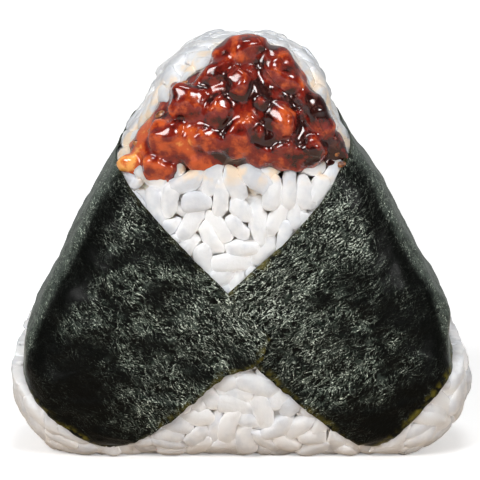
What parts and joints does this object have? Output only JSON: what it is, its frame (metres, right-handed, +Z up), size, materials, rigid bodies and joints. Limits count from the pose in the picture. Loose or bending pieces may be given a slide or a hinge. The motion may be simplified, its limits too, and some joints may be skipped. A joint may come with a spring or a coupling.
{
  "type": "onigiri rice ball",
  "caption": "Triangular pressed rice ball with a glazed savoury filling at its top front, wrapped in a crossed strip of nori.",
  "frame": {"origin": "on the floor, under the middle of the whole object's box", "axes": "+Z up, the front with the crossed nori ends and the filling faces -Y, +X to the right as seen from the front"},
  "size_m": [0.0836, 0.0414, 0.0761],
  "materials": {
    "rice": "moist white cooked rice grains",
    "filling": "wet red-brown glaze over chunks",
    "nori": "black-green fibrous sheet, faint sheen"
  },
  "bodies": {
    "root": {"rice_body": "rice", "filling": "filling", "nori_strip": "nori"}
  },
  "joints": []
}
